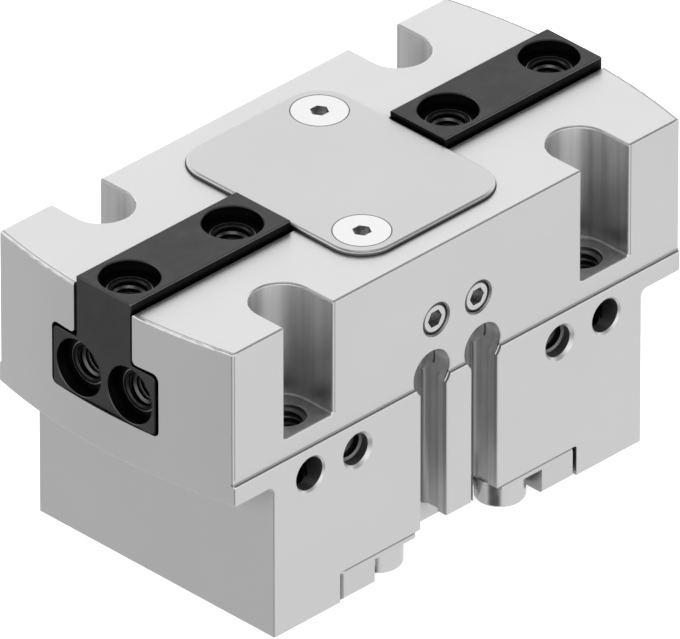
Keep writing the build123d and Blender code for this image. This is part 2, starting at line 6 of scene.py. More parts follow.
import bmesh
import bpy
from bpy.props import (
    FloatProperty,
    FloatVectorProperty,
    IntProperty,
    PointerProperty,
)
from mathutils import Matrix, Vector


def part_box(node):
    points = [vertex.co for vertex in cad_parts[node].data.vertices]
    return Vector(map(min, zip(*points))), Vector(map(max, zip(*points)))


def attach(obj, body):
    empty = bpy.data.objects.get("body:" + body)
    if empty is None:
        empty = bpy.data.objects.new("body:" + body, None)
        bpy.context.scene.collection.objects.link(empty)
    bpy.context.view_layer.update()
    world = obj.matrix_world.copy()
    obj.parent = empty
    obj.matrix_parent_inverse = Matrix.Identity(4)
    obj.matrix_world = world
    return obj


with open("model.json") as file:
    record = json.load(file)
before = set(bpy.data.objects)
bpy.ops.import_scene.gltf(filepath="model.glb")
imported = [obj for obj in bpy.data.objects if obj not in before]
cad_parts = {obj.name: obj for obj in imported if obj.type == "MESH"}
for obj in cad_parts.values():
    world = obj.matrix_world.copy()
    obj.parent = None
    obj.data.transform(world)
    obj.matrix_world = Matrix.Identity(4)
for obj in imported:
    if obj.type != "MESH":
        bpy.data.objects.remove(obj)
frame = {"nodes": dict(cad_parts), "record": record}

bl_info = {
    "name": "Parallel gripper",
    "version": (1, 0, 0),
    "blender": (4, 5, 0),
    "location": "3D View > Sidebar > Gripper",
    "description": "Finishes, threads and studio of a pneumatic parallel gripper",
    "category": "Object",
}

MM = 0.001
X, Y, Z = range(3)


def mm(*lengths):
    """Lengths in millimetres, as metres."""
    return tuple(length * MM for length in lengths)


def grey(level):
    """Neutral colour of one level."""
    return (level, level, level)


# CAD nodes that share a finish
PLUGS = ("plug_screw_1", "plug_screw_2")
COVER_SCREWS = ("cover_screw_1", "cover_screw_2")
JAWS = ("jaw_left", "jaw_right")
SEALS = ("piston_seal", "rod_seal", "end_cap_seal")

# Painted shade: openness of a place, and the share of its colour that is left there
ALUMINIUM_SHADE = ((0.0, 0.03), (0.08, 0.08), (0.2, 0.6), (0.6, 0.66), (0.88, 1.0))
ZINC_SHADE = ((0.0, 0.05), (0.2, 0.18), (0.4, 0.52), (0.6, 0.88), (0.8, 1.0))
OXIDE_SHADE = ((0.0, 0.03), (0.3, 0.13), (0.6, 0.28), (0.85, 0.4), (0.97, 1.0))

# What the colour is multiplied by in the zones and rings below: painted shade below one, painted light and
# highlights above one, and the range of the painted reflection streaks
EDGE_SHADE_SHARE = 0.5
BOW_SHADE_SHARE = 0.45
GROOVES_LIGHT_SHARE = 1.32
GROOVE_BACK_SHADE_SHARE = 0.58
SLIT_SHADE_SHARE = 0.24
PASSAGE_SHADE_SHARE = 0.4
GAP_SHADE_SHARE = 0.3
SEAT_HIGHLIGHT_SHARE = 12.0
RIM_HIGHLIGHT_SHARE = 2.8
STREAK_SHARES = (0.88, 1.12)

# The housing's end and top, its head's front face, and the radius of the head's bowed ends
HOUSING_END, _, HOUSING_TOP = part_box("housing")[1]
HEAD_FRONT = -23.6 * MM
HEAD_BOW = 103.0 * MM

# Zones of the housing, as a middle and half sizes: painted dark lines of shade on its edges, and the walls
# of its pockets
TOP_LINE = ((0.0, 0.0, HOUSING_TOP - 0.14 * MM), mm(44.4, 24.0, 0.06))
SEAM_LINE = (mm(0.0, -23.8, 29.0), mm(46.0, 0.5, 0.2))
CORNER_LINE = ((-44.83 * MM, HEAD_FRONT, 40.2 * MM), mm(0.1, 0.03, 10.4))
GROOVES = (mm(0.0, -20.55, 17.0), mm(9.6, 2.75, 17.5))

# Zones that repeat at each well or groove, with x counted from its middle: a painted dark line, a well's
# walls, and painted shade at a groove's back and near its top
WELL_LINE = ((5.27 * MM, HEAD_FRONT, 41.6 * MM), mm(0.09, 0.03, 9.3))
WELL = (mm(0.0, 18.0, 41.0), mm(5.6, 5.4, 9.6))
GROOVE_BACK = (mm(2.47, -19.14, 13.8), mm(0.25, 0.25, 13.9))
GROOVE_SLIT_SHADE = (mm(3.55, -20.5, 30.3), mm(0.5, 0.21, 1.2))

# Zones of painted shade at the cover's foot and of a painted highlight on the rounded rim of the jaws
COVER_FOOT = ((0.0, 0.0, HOUSING_TOP + 0.2 * MM), mm(16.0, 20.0, 0.24))
JAW_RIM = (mm(0.0, -5.45, 52.4), mm(48.0, 0.1, 0.07))

# Rings of painted shade, and in the jaws' seats of painted highlight, as inner and outer radius and reach
# along the axis
BOW_RING = (HEAD_BOW - 0.58 * MM, HEAD_BOW - 0.4 * MM, 0.015 * MM)
PASSAGE_RING = mm(2.4, 2.76, 0.4)
PLUG_RING = mm(2.05, 2.6, 0.1)
COVER_SCREW_RING = mm(4.18, 4.38, 0.2)
SEAT_RING = mm(3.2, 3.34, 0.1)
SEAT_RISE = 0.38 * MM

# How deep a thread's ridge bites into its hole's wall, and the share of a turn over which it grows
RIDGE_BITE = 0.03 * MM
RIDGE_GROWTH = 0.5

# Room that the metal mirrors, as a direction, the cosines to it between which the level changes, and
# the levels outside and inside. The walls come first, and the other parts darken them.
UP = (0.0, 0.0, 1.0)
WALLS = (UP, (-0.2, 0.3), (0.745, 1.19))
CEILING = (UP, (0.63, 0.77), (1.0, 0.06))
LOW_LEFT = ((-0.8, -0.3, -0.53), (0.86, 0.97), (1.0, 0.1))
BACK_LEFT = ((-0.6, 0.6, -0.53), (0.4, 0.9), (1.0, 0.72))
BACK_LEFT_CORE = ((-0.6, 0.6, -0.53), (0.92, 0.99), (1.0, 0.85))
HIGH_RIGHT = ((0.6, -0.45, 0.66), (0.85, 0.97), (1.0, 0.3))
DARK_PARTS = (CEILING, LOW_LEFT, BACK_LEFT, BACK_LEFT_CORE, HIGH_RIGHT)

# The floor's way below the gripper and its number of sides, and the camera's nearest and farthest sight
FLOOR_DROP = 0.02 * MM
FLOOR_SIDES = 96
CAMERA_SIGHT = (0.1, 50.0)


def colour_property(name, description, default):
    """Colour that a user would change."""
    return FloatVectorProperty(
        name=name,
        description=description,
        subtype="COLOR",
        size=3,
        min=0.0,
        max=1.0,
        default=default,
    )


def place_property(name, description, default):
    """Place that a user would change, in metres."""
    return FloatVectorProperty(
        name=name,
        description=description,
        subtype="XYZ",
        unit="LENGTH",
        size=3,
        precision=5,
        default=default,
    )


def length_property(name, description, default):
    """Length that a user would change, in metres."""
    return FloatProperty(name=name, description=description, unit="LENGTH", precision=5, default=default)


def angle_property(name, description, degrees):
    """Angle that a user would change."""
    return FloatProperty(name=name, description=description, subtype="ANGLE", default=math.radians(degrees))


def share_property(name, description, default):
    """Share from none to all that a user would change."""
    return FloatProperty(
        name=name,
        description=description,
        subtype="FACTOR",
        min=0.0,
        max=1.0,
        default=default,
    )


class FinishSettings(bpy.types.PropertyGroup):
    """Colours and surface grain of the gripper's materials."""

    housing_colour: colour_property("Housing", "Anodised aluminium of the housing", grey(0.78))
    cover_colour: colour_property("Cover", "Anodised aluminium of the top cover", grey(0.68))
    cap_colour: colour_property("End cap", "Anodised aluminium of the end cap", grey(0.76))
    # Darker than the housing: painted shade in the housing's threads
    thread_shade_colour: colour_property("Threads", "Cut threads in the housing, dark with oil", grey(0.3))
    screw_colour: colour_property("Screws", "Bright zinc on the screws", grey(0.8))
    jaw_colour: colour_property("Jaws", "Black oxide on the jaws", grey(0.108))
    # Lighter than the jaws: a painted highlight on the threads' ridges
    jaw_thread_highlight_colour: colour_property("Jaw threads", "Cut threads in the jaws, rubbed bare", grey(0.22))
    hook_colour: colour_property("Wedge hook", "Ground steel of the wedge hook", grey(0.42))
    piston_colour: colour_property("Piston", "Turned aluminium of the piston", grey(0.7))
    retainer_colour: colour_property("Retainer", "Turned steel of the seal's ring", grey(0.55))
    magnet_colour: colour_property("Magnet", "Plastic-bound ferrite", grey(0.05))
    rubber_colour: colour_property("Seals", "Elastomer of the seals", grey(0.014))
    oxide_sheen: colour_property("Oxide sheen", "Tint of black oxide seen at a flat angle", grey(0.3))
    satin: share_property("Satin", "Roughness of the anodised faces", 0.36)
    grain: length_property("Grain", "Width of the grains on the anodised faces", 0.16 * MM)


class ThreadSettings(bpy.types.PropertyGroup):
    """Threads in the fixing holes, the air ports and the jaws."""

    well_pitch: length_property("Well pitch", "Pitch of the threads below the wells", 1.0 * MM)
    well_length: length_property("Well length", "Length of thread below a well", 4.4 * MM)
    well_ridge: length_property("Well ridge", "Height of the ridge below a well", 0.54 * MM)
    well_start: length_property("Well start", "Depth at which the thread below a well begins", 0.3 * MM)
    port_pitch: length_property("Port pitch", "Pitch of the threads in the air ports", 1.54 * MM)
    port_length: length_property("Port length", "Length of thread in an air port", 6.4 * MM)
    port_ridge: length_property("Port ridge", "Height of the ridge in an air port", 0.4 * MM)
    port_start: length_property("Port start", "Depth at which the thread in an air port begins", 0.15 * MM)
    jaw_pitch: length_property("Jaw pitch", "Pitch of the threads in the jaws", 0.8 * MM)
    jaw_length: length_property("Jaw length", "Length of thread in a jaw", 7.0 * MM)
    jaw_ridge: length_property("Jaw ridge", "Height of the ridge in a jaw", 0.43 * MM)
    jaw_start: length_property("Jaw start", "Depth at which the thread in a jaw begins", 0.2 * MM)
    root: share_property("Root", "Half a ridge's width as a share of its height", 0.72)
    crest: share_property("Crest", "Half a crest's width as a share of the ridge's height", 0.12)
    steps: IntProperty(name="Steps", description="Sections of a thread's turn", default=56, min=12, max=128)


class StageSettings(bpy.types.PropertyGroup):
    """Camera, floor and light."""

    azimuth: angle_property("Azimuth", "Direction from which the camera looks", -44.961)
    elevation: angle_property("Elevation", "Height of the camera above the horizon", 32.093)
    distance: length_property("Distance", "From the aim to the camera", 3961.2 * MM)
    aim: place_property("Aim", "Point at the middle of the picture", mm(8.403, 8.545, 18.973))
    lens: FloatProperty(name="Lens", description="Focal length in millimetres", default=1455.4, min=1.0)
    floor_radius: length_property("Floor radius", "Radius of the floor", 6.0)
    floor_colour: colour_property("Floor", "Colour of the floor", grey(0.86))
    floor_lift: FloatProperty(
        name="Floor lift",
        description="Light that the floor adds for the camera alone",
        default=0.7,
        min=0.0,
    )
    lamp_place: place_property("Lamp place", "Middle of the softbox", (0.1, 0.0, 1.3))
    lamp_power: FloatProperty(
        name="Lamp",
        description="Power of the softbox",
        unit="POWER",
        default=1.3,
        min=0.0,
    )
    lamp_size: length_property("Lamp size", "Width of the softbox", 0.55)
    sky: FloatProperty(name="Sky", description="Strength of the studio's own light", default=1.0, min=0.0)


def new_material(name, metallic=0.0):
    """Material with one surface shader, its nodes, and the object's own coordinates."""
    material = bpy.data.materials.new(name)
    material.use_nodes = True
    tree = material.node_tree
    tree.nodes.clear()
    shader = tree.nodes.new("ShaderNodeBsdfPrincipled")
    shader.inputs["Metallic"].default_value = metallic
    output = tree.nodes.new("ShaderNodeOutputMaterial")
    tree.links.new(shader.outputs["BSDF"], output.inputs["Surface"])
    coordinates = tree.nodes.new("ShaderNodeTexCoord")
    return material, tree, shader, coordinates


def combine(tree, operation, first, second):
    """One value worked out from two."""
    node = tree.nodes.new("ShaderNodeMath")
    node.operation = operation
    tree.links.new(first, node.inputs[0])
    tree.links.new(second, node.inputs[1])
    return node.outputs["Value"]


def noise(tree, vector, scale, detail=2.0, roughness=0.5):
    """Noise of the given scale, read along a vector."""
    node = tree.nodes.new("ShaderNodeTexNoise")
    node.inputs["Scale"].default_value = scale
    node.inputs["Detail"].default_value = detail
    node.inputs["Roughness"].default_value = roughness
    tree.links.new(vector, node.inputs["Vector"])
    return node.outputs["Fac"]


def stretched(tree, vector, scale):
    """The vector with each axis scaled on its own."""
    node = tree.nodes.new("ShaderNodeMapping")
    node.inputs["Scale"].default_value = scale
    tree.links.new(vector, node.inputs["Vector"])
    return node.outputs["Vector"]


def spread(tree, value, low, high, start=0.3, end=0.7, curve="LINEAR"):
    """A value from start to end, brought to the range from low to high."""
    node = tree.nodes.new("ShaderNodeMapRange")
    node.interpolation_type = curve
    node.inputs["From Min"].default_value = start
    node.inputs["From Max"].default_value = end
    node.inputs["To Min"].default_value = low
    node.inputs["To Max"].default_value = high
    tree.links.new(value, node.inputs["Value"])
    return node.outputs["Result"]


def tint(tree, value, colour, dark, light):
    """The colour, darkened and lightened along a value."""
    node = tree.nodes.new("ShaderNodeMix")
    node.data_type = "RGBA"
    node.inputs["A"].default_value = (*(c * dark for c in colour), 1.0)
    node.inputs["B"].default_value = (*(min(1.0, c * light) for c in colour), 1.0)
    tree.links.new(spread(tree, value, 0.0, 1.0), node.inputs["Factor"])
    return node.outputs["Result"]


def scaled(tree, colour, share):
    """The colour, multiplied by a share."""
    node = tree.nodes.new("ShaderNodeVectorMath")
    node.operation = "SCALE"
    tree.links.new(colour, node.inputs[0])
    tree.links.new(share, node.inputs["Scale"])
    return node.outputs["Vector"]


def shaded(tree, colour, reach, stops):
    """The colour with painted shade: darker in holes, in corners and next to other parts, where the place is
    closed in.
    """
    shelter = tree.nodes.new("ShaderNodeAmbientOcclusion")
    shelter.samples = 8
    shelter.inputs["Distance"].default_value = reach
    curve = tree.nodes.new("ShaderNodeValToRGB")
    elements = curve.color_ramp.elements
    while len(elements) < len(stops):
        elements.new(1.0)
    for element, (openness, share) in zip(elements, stops):
        element.position = openness
        element.color = (*grey(share), 1.0)
    tree.links.new(shelter.outputs["AO"], curve.inputs["Fac"])
    return scaled(tree, colour, curve.outputs["Color"])


def within(tree, value, middle, reach):
    """One where a value lies less than a reach from the middle, else zero."""
    node = tree.nodes.new("ShaderNodeMath")
    node.operation = "COMPARE"
    tree.links.new(value, node.inputs[0])
    node.inputs[1].default_value = middle
    node.inputs[2].default_value = reach
    return node.outputs["Value"]


def offset_from(tree, place, spot):
    """Way from a spot to the place that is shaded."""
    node = tree.nodes.new("ShaderNodeVectorMath")
    node.operation = "SUBTRACT"
    node.inputs[1].default_value = spot
    tree.links.new(place, node.inputs[0])
    return node.outputs["Vector"]


def parts_of(tree, vector):
    """The vector's three parts."""
    node = tree.nodes.new("ShaderNodeSeparateXYZ")
    tree.links.new(vector, node.inputs["Vector"])
    return [node.outputs[axis] for axis in "XYZ"]


def in_zone(tree, place, middle, halves):
    """One in a box round a middle, else zero."""
    parts = parts_of(tree, offset_from(tree, place, middle))
    inside = [within(tree, part, 0.0, half) for part, half in zip(parts, halves)]
    return combine(tree, "MULTIPLY", combine(tree, "MULTIPLY", inside[X], inside[Y]), inside[Z])


def in_ring(tree, place, spot, axis, inner, outer, reach):
    """One in a flat ring round an axis through a spot, else zero."""
    way = offset_from(tree, place, spot)
    across = tree.nodes.new("ShaderNodeVectorMath")
    across.operation = "MULTIPLY"
    across.inputs[1].default_value = [0.0 if i == axis else 1.0 for i in (X, Y, Z)]
    tree.links.new(way, across.inputs[0])
    radius = tree.nodes.new("ShaderNodeVectorMath")
    radius.operation = "LENGTH"
    tree.links.new(across.outputs["Vector"], radius.inputs[0])
    between = within(tree, radius.outputs["Value"], (inner + outer) / 2, (outer - inner) / 2)
    return combine(tree, "MULTIPLY", between, within(tree, parts_of(tree, way)[axis], 0.0, reach))


def marked(tree, colour, place, marks):
    """The colour, multiplied by a share in each marked zone or ring: painted shade where the share is below
    one, painted light where it is above.
    """
    for shape, sizes, share in marks:
        inside = shape(tree, place, *sizes)
        colour = scaled(tree, colour, spread(tree, inside, 1.0, share, start=0.0, end=1.0))
    return colour


def reflection_streaked(tree, colour, place, pockets):
    """The colour, with painted reflection: upright lighter and darker streaks on the walls of pockets."""
    bands = noise(tree, stretched(tree, place, (1.0, 1.0, 0.012)), scale=900.0, detail=3.0)
    streaks = spread(tree, bands, *STREAK_SHARES)
    for middle, halves in pockets:
        share = spread(tree, in_zone(tree, place, middle, halves), 1.0, 1.0, start=0.0, end=1.0)
        tree.links.new(streaks, share.node.inputs["To Max"])
        colour = scaled(tree, colour, share)
    return colour


def relief(tree, shader, layers):
    """Bumps on the shader: each layer is a height, its depth in metres and its strength."""
    normal = None
    for height, depth, strength in layers:
        node = tree.nodes.new("ShaderNodeBump")
        node.inputs["Distance"].default_value = depth
        node.inputs["Strength"].default_value = strength
        tree.links.new(height, node.inputs["Height"])
        if normal is not None:
            tree.links.new(normal, node.inputs["Normal"])
        normal = node.outputs["Normal"]
    tree.links.new(normal, shader.inputs["Normal"])


def anodised_aluminium(name, colour, settings, marks=(), pockets=()):
    """Fine matt anodised aluminium: blasted grain, faint clouds and a few cutter lines, with painted shade
    and light and painted reflection streaks in its colour.
    """
    material, tree, shader, coordinates = new_material(name, metallic=1.0)
    place = coordinates.outputs["Object"]
    grains = noise(tree, place, scale=1 / settings.grain, detail=3.0, roughness=0.6)
    clouds = noise(tree, place, scale=45.0, detail=3.0)
    lines = noise(tree, stretched(tree, place, (6.0, 6.0, 1.0)), scale=900.0)
    colour = tint(tree, clouds, colour, dark=0.985, light=1.015)
    # Painted shade in holes and corners, and next to the jaws and the cover
    colour = shaded(tree, colour, reach=10.0 * MM, stops=ALUMINIUM_SHADE)
    # Painted shade and light from the marks, and painted reflection streaks on the pockets' walls
    colour = reflection_streaked(tree, marked(tree, colour, place, marks), place, pockets)
    tree.links.new(colour, shader.inputs["Base Color"])
    matt = spread(tree, grains, low=settings.satin - 0.03, high=settings.satin + 0.05)
    tree.links.new(matt, shader.inputs["Roughness"])
    relief(tree, shader, [(grains, 0.006 * MM, 0.25), (lines, 0.004 * MM, 0.08)])
    return material


def bright_zinc(name, colour, marks=()):
    """Bright zinc on turned steel: fine rings round the screw's axis."""
    material, tree, shader, coordinates = new_material(name, metallic=1.0)
    rings = tree.nodes.new("ShaderNodeTexWave")
    rings.wave_type = "RINGS"
    rings.rings_direction = "SPHERICAL"
    rings.inputs["Scale"].default_value = 14.0
    rings.inputs["Distortion"].default_value = 0.6
    centred = offset_from(tree, coordinates.outputs["Generated"], (0.5, 0.5, 0.5))
    tree.links.new(centred, rings.inputs["Vector"])
    place = coordinates.outputs["Object"]
    clouds = noise(tree, place, scale=700.0, detail=3.0)
    colour = tint(tree, clouds, colour, dark=0.96, light=1.0)
    # Painted shade in the screws' hollows
    colour = shaded(tree, colour, reach=2.0 * MM, stops=ZINC_SHADE)
    tree.links.new(marked(tree, colour, place, marks), shader.inputs["Base Color"])
    tree.links.new(spread(tree, clouds, low=0.16, high=0.26), shader.inputs["Roughness"])
    relief(tree, shader, [(rings.outputs["Fac"], 0.004 * MM, 0.15)])
    return material


def black_oxide(name, colour, sheen, stops, marks=()):
    """Black oxide on ground steel: a faint mottle and fine grinding lines."""
    material, tree, shader, coordinates = new_material(name, metallic=1.0)
    shader.inputs["Specular Tint"].default_value = (*sheen, 1.0)
    place = coordinates.outputs["Object"]
    mottle = noise(tree, place, scale=260.0, detail=4.0, roughness=0.6)
    grains = noise(tree, place, scale=5200.0)
    lines = noise(tree, stretched(tree, place, (1.0, 9.0, 9.0)), scale=520.0, detail=3.0)
    colour = tint(tree, mottle, colour, dark=0.93, light=1.07)
    # Painted shade in holes and corners
    colour = shaded(tree, colour, reach=6.0 * MM, stops=stops)
    tree.links.new(marked(tree, colour, place, marks), shader.inputs["Base Color"])
    tree.links.new(spread(tree, lines, low=0.3, high=0.4), shader.inputs["Roughness"])
    relief(tree, shader, [(grains, 0.006 * MM, 0.2), (lines, 0.004 * MM, 0.1)])
    return material


def ground_steel(name, colour, stretch):
    """Ground or turned metal: fine lines across the stretched axes."""
    material, tree, shader, coordinates = new_material(name, metallic=1.0)
    place = coordinates.outputs["Object"]
    lines = noise(tree, stretched(tree, place, stretch), scale=500.0, detail=4.0)
    clouds = noise(tree, place, scale=120.0, detail=3.0)
    tree.links.new(tint(tree, clouds, colour, dark=0.93, light=1.06), shader.inputs["Base Color"])
    tree.links.new(spread(tree, lines, low=0.24, high=0.38), shader.inputs["Roughness"])
    relief(tree, shader, [(lines, 0.01 * MM, 0.2)])
    return material


def matt_elastomer(name, colour, rough):
    """Matt moulded rubber or bound ferrite: fine pits and a faint bloom."""
    material, tree, shader, coordinates = new_material(name)
    place = coordinates.outputs["Object"]
    bloom = noise(tree, place, scale=320.0, detail=4.0)
    pits = noise(tree, place, scale=3600.0, detail=3.0)
    tree.links.new(tint(tree, bloom, colour, dark=0.8, light=1.5), shader.inputs["Base Color"])
    tree.links.new(spread(tree, pits, low=rough - 0.08, high=rough + 0.08), shader.inputs["Roughness"])
    relief(tree, shader, [(pits, 0.02 * MM, 0.3)])
    return material


def dress(material, *nodes):
    """Gives CAD nodes their material."""
    for name in nodes:
        mesh = frame["nodes"][name].data
        mesh.materials.clear()
        mesh.materials.append(material)


def find_mount(name):
    """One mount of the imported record."""
    return next(m for m in frame["record"]["mounts"] if m["name"] == name)


def holes(mount):
    """Mouths of a mount's holes, the direction out of them, and their radius."""
    found = find_mount(mount)
    outward = Vector(found["axis"])
    across = Vector((0, 1, 0)) if abs(outward.x) > 0.5 else Vector((1, 0, 0))
    up = outward.cross(across)
    half_x = found["dims"]["spacing_x_mm"] * MM / 2
    half_y = found["dims"].get("spacing_y_mm", 0.0) * MM / 2
    rows = (-half_y, half_y) if half_y else (0.0,)
    middle = Vector(found["pos_m"])
    mouths = [middle + across * x + up * y for x in (-half_x, half_x) for y in rows]
    return mouths, outward, found["dims"]["hole_r_mm"] * MM


def moved(zone, x, side=1):
    """A zone, moved along the gripper, and to its back or front side where one is given."""
    middle, halves = zone
    return (middle[X] + x, middle[Y] * side, middle[Z]), halves


def housing_edges(wells):
    """Painted shade: dark lines on the housing's top rim, bowed ends, upright edges and seam."""
    lines = [TOP_LINE, SEAM_LINE, CORNER_LINE]
    lines += [moved(WELL_LINE, x) for x in sorted({mouth.x for mouth in wells})]
    marks = [(in_zone, line, EDGE_SHADE_SHARE) for line in lines]
    for end in (1, -1):
        bow_middle = (end * (HEAD_BOW - HOUSING_END), 0.0, HOUSING_TOP)
        marks.append((in_ring, (bow_middle, Z, *BOW_RING), BOW_SHADE_SHARE))
    return marks


def housing_grooves():
    """Painted light and shade in the sensor grooves: lighter walls, a dark corner at their backs and a dark
    slit near their tops.
    """
    marks = [(in_zone, GROOVES, GROOVES_LIGHT_SHARE)]
    for slide in ("sensor_slot_left", "sensor_slot_right"):
        x = find_mount(slide)["pos_m"][X]
        marks.append((in_zone, moved(GROOVE_SLIT_SHADE, x), SLIT_SHADE_SHARE))
        marks.append((in_zone, moved(GROOVE_BACK, x), GROOVE_BACK_SHADE_SHARE))
    return marks


def plug_ring(plug, face, sizes, share):
    """Ring of painted shade round a plug's axis, on a face that looks to the front."""
    low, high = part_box(plug)
    middle = (low + high) / 2
    return in_ring, ((middle.x, face, middle.z), Y, *sizes), share


class GRIPPER_OT_housing(bpy.types.Operator):
    """Finish the housing"""

    bl_idname = "gripper.housing"
    bl_label = "Housing"

    def execute(self, context):
        finish = context.scene.gripper_finish
        wells = holes("well_screw_threads")[0]
        # Painted shade round the plugs' passages
        passages = [plug_ring(plug, HEAD_FRONT, PASSAGE_RING, PASSAGE_SHADE_SHARE) for plug in PLUGS]
        marks = housing_edges(wells) + housing_grooves() + passages
        pockets = [GROOVES] + [moved(WELL, mouth.x, math.copysign(1, mouth.y)) for mouth in wells]
        colour = finish.housing_colour
        dress(anodised_aluminium("housing_anodised", colour, finish, marks, pockets), "housing")
        return {"FINISHED"}


class GRIPPER_OT_cover(bpy.types.Operator):
    """Finish the top cover"""

    bl_idname = "gripper.cover"
    bl_label = "Top cover"

    def execute(self, context):
        finish = context.scene.gripper_finish
        # Painted shade at the foot of the cover's side wall and round the screw heads
        marks = [(in_zone, COVER_FOOT, GAP_SHADE_SHARE)]
        for screw in COVER_SCREWS:
            low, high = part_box(screw)
            middle = (low + high) / 2
            marks.append((in_ring, ((middle.x, middle.y, high.z), Z, *COVER_SCREW_RING), GAP_SHADE_SHARE))
        dress(anodised_aluminium("cover_anodised", finish.cover_colour, finish, marks), "top_cover")
        return {"FINISHED"}


class GRIPPER_OT_cap(bpy.types.Operator):
    """Finish the end cap"""

    bl_idname = "gripper.cap"
    bl_label = "End cap"

    def execute(self, context):
        finish = context.scene.gripper_finish
        dress(anodised_aluminium("cap_anodised", finish.cap_colour, finish), "end_cap")
        return {"FINISHED"}


class GRIPPER_OT_screws(bpy.types.Operator):
    """Finish the screws of the cover, the end cap, the passages and the piston"""

    bl_idname = "gripper.screws"
    bl_label = "Screws"

    def execute(self, context):
        colour = context.scene.gripper_finish.screw_colour
        others = sorted(n for n in frame["nodes"] if "screw" in n and n not in PLUGS)
        dress(bright_zinc("screw_zinc", colour), *others)
        # Painted shade: a dark ring round the face of each plug
        marks = [plug_ring(plug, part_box(plug)[0].y, PLUG_RING, GAP_SHADE_SHARE) for plug in PLUGS]
        dress(bright_zinc("plug_zinc", colour, marks), *PLUGS)
        return {"FINISHED"}


class GRIPPER_OT_jaws(bpy.types.Operator):
    """Finish both jaws"""

    bl_idname = "gripper.jaws"
    bl_label = "Jaws"

    def execute(self, context):
        finish = context.scene.gripper_finish
        # Painted highlights: a light line on the jaws' rounded rim and light rings on the floors of their
        # threads' seats
        marks = [(in_zone, JAW_RIM, RIM_HIGHLIGHT_SHARE)]
        for jaw in JAWS:
            for face, axis in (("_top_threads", Z), ("_end_threads", X)):
                mouths, outward, _ = holes(jaw + face)
                floors = [mouth + outward * SEAT_RISE for mouth in mouths]
                marks += [(in_ring, (floor, axis, *SEAT_RING), SEAT_HIGHLIGHT_SHARE) for floor in floors]
        steel = black_oxide("jaw_black_oxide", finish.jaw_colour, finish.oxide_sheen, OXIDE_SHADE, marks)
        dress(steel, *JAWS)
        return {"FINISHED"}


class GRIPPER_OT_drive(bpy.types.Operator):
    """Finish the piston, the wedge hook and the seal's ring"""

    bl_idname = "gripper.drive"
    bl_label = "Drive"

    def execute(self, context):
        finish = context.scene.gripper_finish
        ground = (1.0, 12.0, 1.0)
        turned = (1.0, 1.0, 14.0)
        dress(ground_steel("hook_ground", finish.hook_colour, ground), "wedge_hook")
        dress(ground_steel("piston_turned", finish.piston_colour, turned), "piston")
        dress(ground_steel("retainer_turned", finish.retainer_colour, turned), "seal_retainer")
        return {"FINISHED"}


class GRIPPER_OT_seals(bpy.types.Operator):
    """Finish the seals and the magnet"""

    bl_idname = "gripper.seals"
    bl_label = "Seals and magnet"

    def execute(self, context):
        finish = context.scene.gripper_finish
        dress(matt_elastomer("seal_rubber", finish.rubber_colour, rough=0.6), *SEALS)
        dress(matt_elastomer("magnet_ferrite", finish.magnet_colour, rough=0.5), "piston_magnet")
        return {"FINISHED"}


def add_thread(mesh, mouth, outward, radius, kind, settings):
    """Helical ridge that runs into a hole from near its mouth."""
    side = outward.orthogonal().normalized()
    other = outward.cross(side)
    pitch, length, height, start = (
        getattr(settings, kind + part) for part in ("_pitch", "_length", "_ridge", "_start")
    )
    crest = radius - height
    wall = radius + RIDGE_BITE
    half_root = settings.root * height
    half_crest = settings.crest * height
    count = int(length / pitch * settings.steps)
    growth = settings.steps * RIDGE_GROWTH
    rows = []
    for step in range(count + 1):
        angle = 2 * math.pi * step / settings.steps
        drop = -start - length + pitch * step / settings.steps
        grown = min(1.0, step / growth, (count - step) / growth)
        tip = wall + (crest - wall) * grown
        ray = side * math.cos(angle) + other * math.sin(angle)
        profile = ((wall, -half_root), (tip, -half_crest), (tip, half_crest), (wall, half_root))
        rows.append([mesh.verts.new(mouth + ray * r + outward * (drop + z)) for r, z in profile])
    corners = len(profile)
    for low, high in zip(rows, rows[1:]):
        for i in range(corners):
            j = (i + 1) % corners
            mesh.faces.new((low[i], high[i], high[j], low[j]))
    mesh.faces.new(rows[0])
    mesh.faces.new(reversed(rows[-1]))


def make_threads(name, mounts, body, material, kind, settings):
    """One piece with the threads of some mounts, riding on a body."""
    build = bmesh.new()
    for mount in mounts:
        mouths, outward, radius = holes(mount)
        for mouth in mouths:
            add_thread(build, mouth, outward, radius, kind, settings)
    bmesh.ops.recalc_face_normals(build, faces=build.faces)
    data = bpy.data.meshes.new(name)
    build.to_mesh(data)
    build.free()
    data.materials.append(material)
    piece = bpy.data.objects.new(name, data)
    bpy.context.scene.collection.objects.link(piece)
    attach(piece, body)
    return piece


class GRIPPER_OT_housing_threads(bpy.types.Operator):
    """Cut the threads below the wells and in the air ports"""

    bl_idname = "gripper.housing_threads"
    bl_label = "Housing threads"

    def execute(self, context):
        finish = context.scene.gripper_finish
        threads = context.scene.gripper_threads
        # Painted shade: the threads get a darker colour than the housing
        metal = anodised_aluminium("thread_aluminium", finish.thread_shade_colour, finish)
        for kind, mount in (("well", "well_screw_threads"), ("port", "air_ports")):
            make_threads(kind + "_threads", [mount], "housing", metal, kind, threads)
        return {"FINISHED"}


class GRIPPER_OT_jaw_threads(bpy.types.Operator):
    """Cut the threads in both jaws"""

    bl_idname = "gripper.jaw_threads"
    bl_label = "Jaw threads"

    def execute(self, context):
        finish = context.scene.gripper_finish
        threads = context.scene.gripper_threads
        colour = finish.jaw_thread_highlight_colour
        # Painted shade in the threads' roots, and a painted highlight from their lighter colour
        metal = black_oxide("jaw_thread_oxide", colour, finish.oxide_sheen, ALUMINIUM_SHADE)
        for jaw in JAWS:
            mounts = [jaw + "_top_threads", jaw + "_end_threads"]
            make_threads(jaw + "_threads", mounts, jaw, metal, "jaw", threads)
        return {"FINISHED"}


